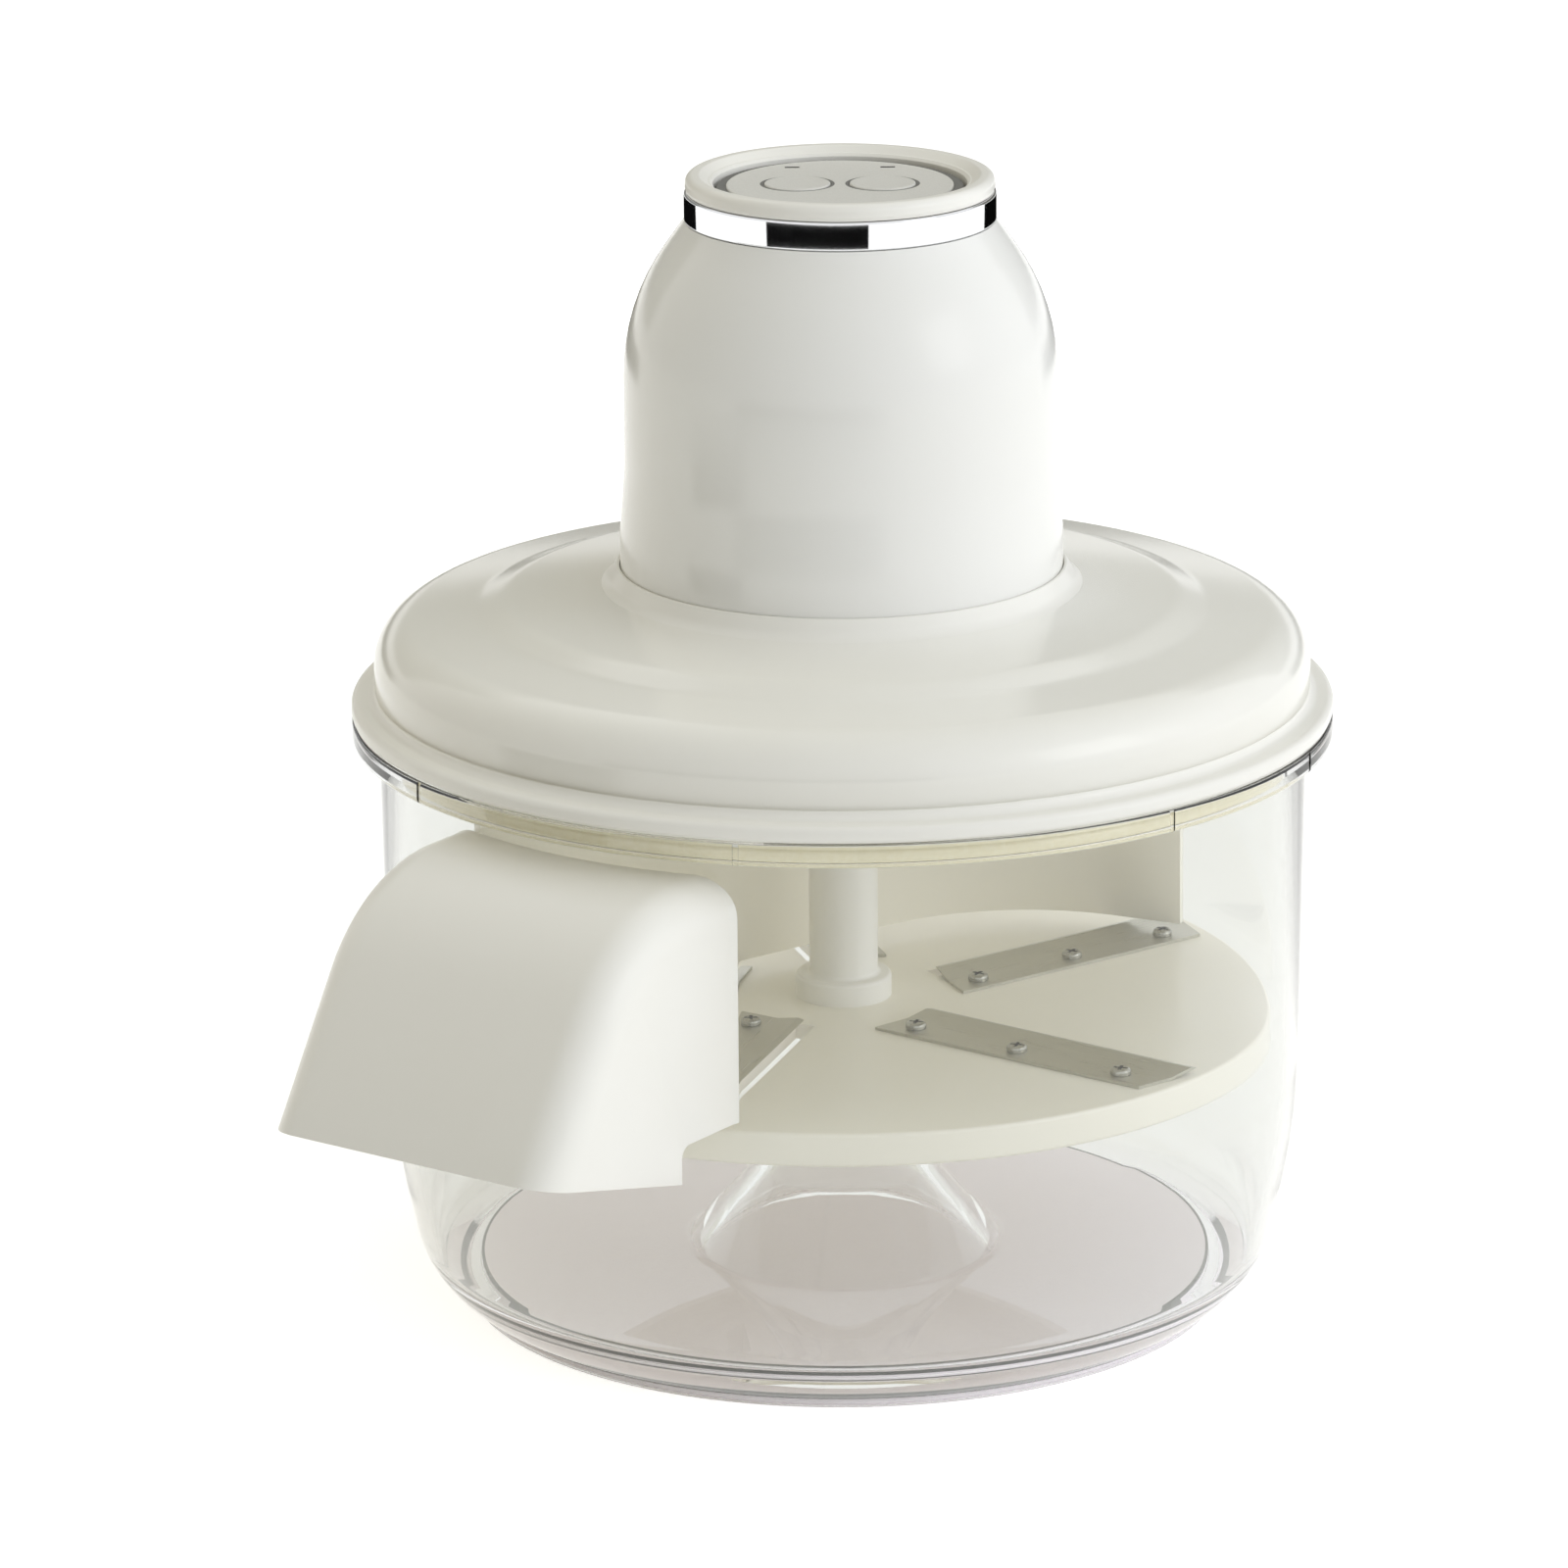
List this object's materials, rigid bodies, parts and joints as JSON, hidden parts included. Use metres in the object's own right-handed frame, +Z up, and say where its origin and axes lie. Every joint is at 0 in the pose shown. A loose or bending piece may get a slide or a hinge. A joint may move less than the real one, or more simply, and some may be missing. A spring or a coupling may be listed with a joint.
{
  "type": "electric peeler",
  "caption": "Cordless electric peeler for garlic and small fruit: clear bowl with a bladed spinning disc, curved guide wall, hooded side chute, domed lid and lift-off motor head with buttons.",
  "frame": {"origin": "centre of the base pad's underside, on the bowl axis, at table height", "axes": "+Z up along the bowl and drive axis; -Y is the side that the chute discharges to; +X is to the right of a person who faces the chute's mouth from the bowl's far side"},
  "size_m": [0.24, 0.2976, 0.2803],
  "materials": {
    "clear_bowl": "clear polished moulding",
    "clear_lid": "clear polished moulding",
    "ivory": "satin moulded ivory",
    "housing": "smooth moulded off-white",
    "pad": "light grey",
    "gasket": "translucent white",
    "dark_rubber": "matt dark grey",
    "dark_plastic": "matt black",
    "panel": "fine silver-grey",
    "led_lens": "smoked lens",
    "chrome": "bright plated",
    "blade_steel": "brushed along the blade",
    "steel": "turned",
    "inlet_metal": "plated",
    "bush": "sintered",
    "gear": "natural acetal",
    "motor_metal": "drawn can",
    "battery": "plain sleeve",
    "board": "solder mask"
  },
  "bodies": {
    "bowl": {"bowl": "clear_bowl", "base_pad": "pad", "pivot_pin": "steel", "discharge_chute": "ivory", "guide_wall": "ivory"},
    "peeling_disc": {"blade_disc": "ivory", "blade_1": "blade_steel", "blade_2": "blade_steel", "blade_3": "blade_steel", "blade_4": "blade_steel", "blade_5": "blade_steel", "blade_screws": "steel", "drive_tube": "ivory", "hub_bush": "bush"},
    "lid": {"lid_cover": "clear_lid", "lid_liner": "ivory", "lid_gasket": "gasket"},
    "motor_head": {"motor_housing": "housing", "head_base": "ivory", "base_screws": "steel", "charge_inlet": "inlet_metal", "spindle_seal": "dark_rubber", "lower_bush": "bush", "upper_bush": "bush", "motor_plate": "steel", "plate_screws": "steel", "drive_motor": "motor_metal", "battery_1": "battery", "battery_2": "battery", "chrome_band": "chrome", "top_bezel": "ivory", "panel_gasket": "dark_rubber", "control_panel": "panel", "led_windows": "led_lens", "control_board": "board", "board_screws": "steel", "tact_switches": "dark_plastic"},
    "left_button": {"button_left": "panel"},
    "right_button": {"button_right": "panel"},
    "output_drive": {"drive_spindle": "steel", "output_gear": "gear"},
    "motor_rotor": {"motor_shaft": "steel", "motor_pinion": "bush"}
  },
  "joints": [
    {"name": "disc_spin", "type": "hinge", "parent": "bowl", "child": "peeling_disc", "pos_m": [0, 0, 0.0607], "axis": [0, 0, 1], "continuous": true},
    {"name": "lid_lift", "type": "slide", "parent": "bowl", "child": "lid", "axis": [0, 0, 1], "range_m": [0, 0.12]},
    {"name": "head_lift", "type": "slide", "parent": "lid", "child": "motor_head", "axis": [0, 0, 1], "range_m": [0, 0.06]},
    {"name": "left_press", "type": "slide", "parent": "motor_head", "child": "left_button", "axis": [0, 0, -1], "range_m": [0, 0.0008], "stiffness_N_per_m": 1500},
    {"name": "right_press", "type": "slide", "parent": "motor_head", "child": "right_button", "axis": [0, 0, -1], "range_m": [0, 0.0008], "stiffness_N_per_m": 1500},
    {"name": "spindle_spin", "type": "hinge", "parent": "motor_head", "child": "output_drive", "pos_m": [0, 0, 0.1832], "axis": [0, 0, 1], "continuous": true},
    {"name": "rotor_spin", "type": "hinge", "parent": "motor_head", "child": "motor_rotor", "pos_m": [-0.0288, 0, 0.1912], "axis": [0, 0, 1], "continuous": true}
  ],
  "couplings": [
    {"joint": "spindle_spin", "follows": "disc_spin", "ratio": 1},
    {"joint": "rotor_spin", "follows": "disc_spin", "ratio": -5}
  ]
}
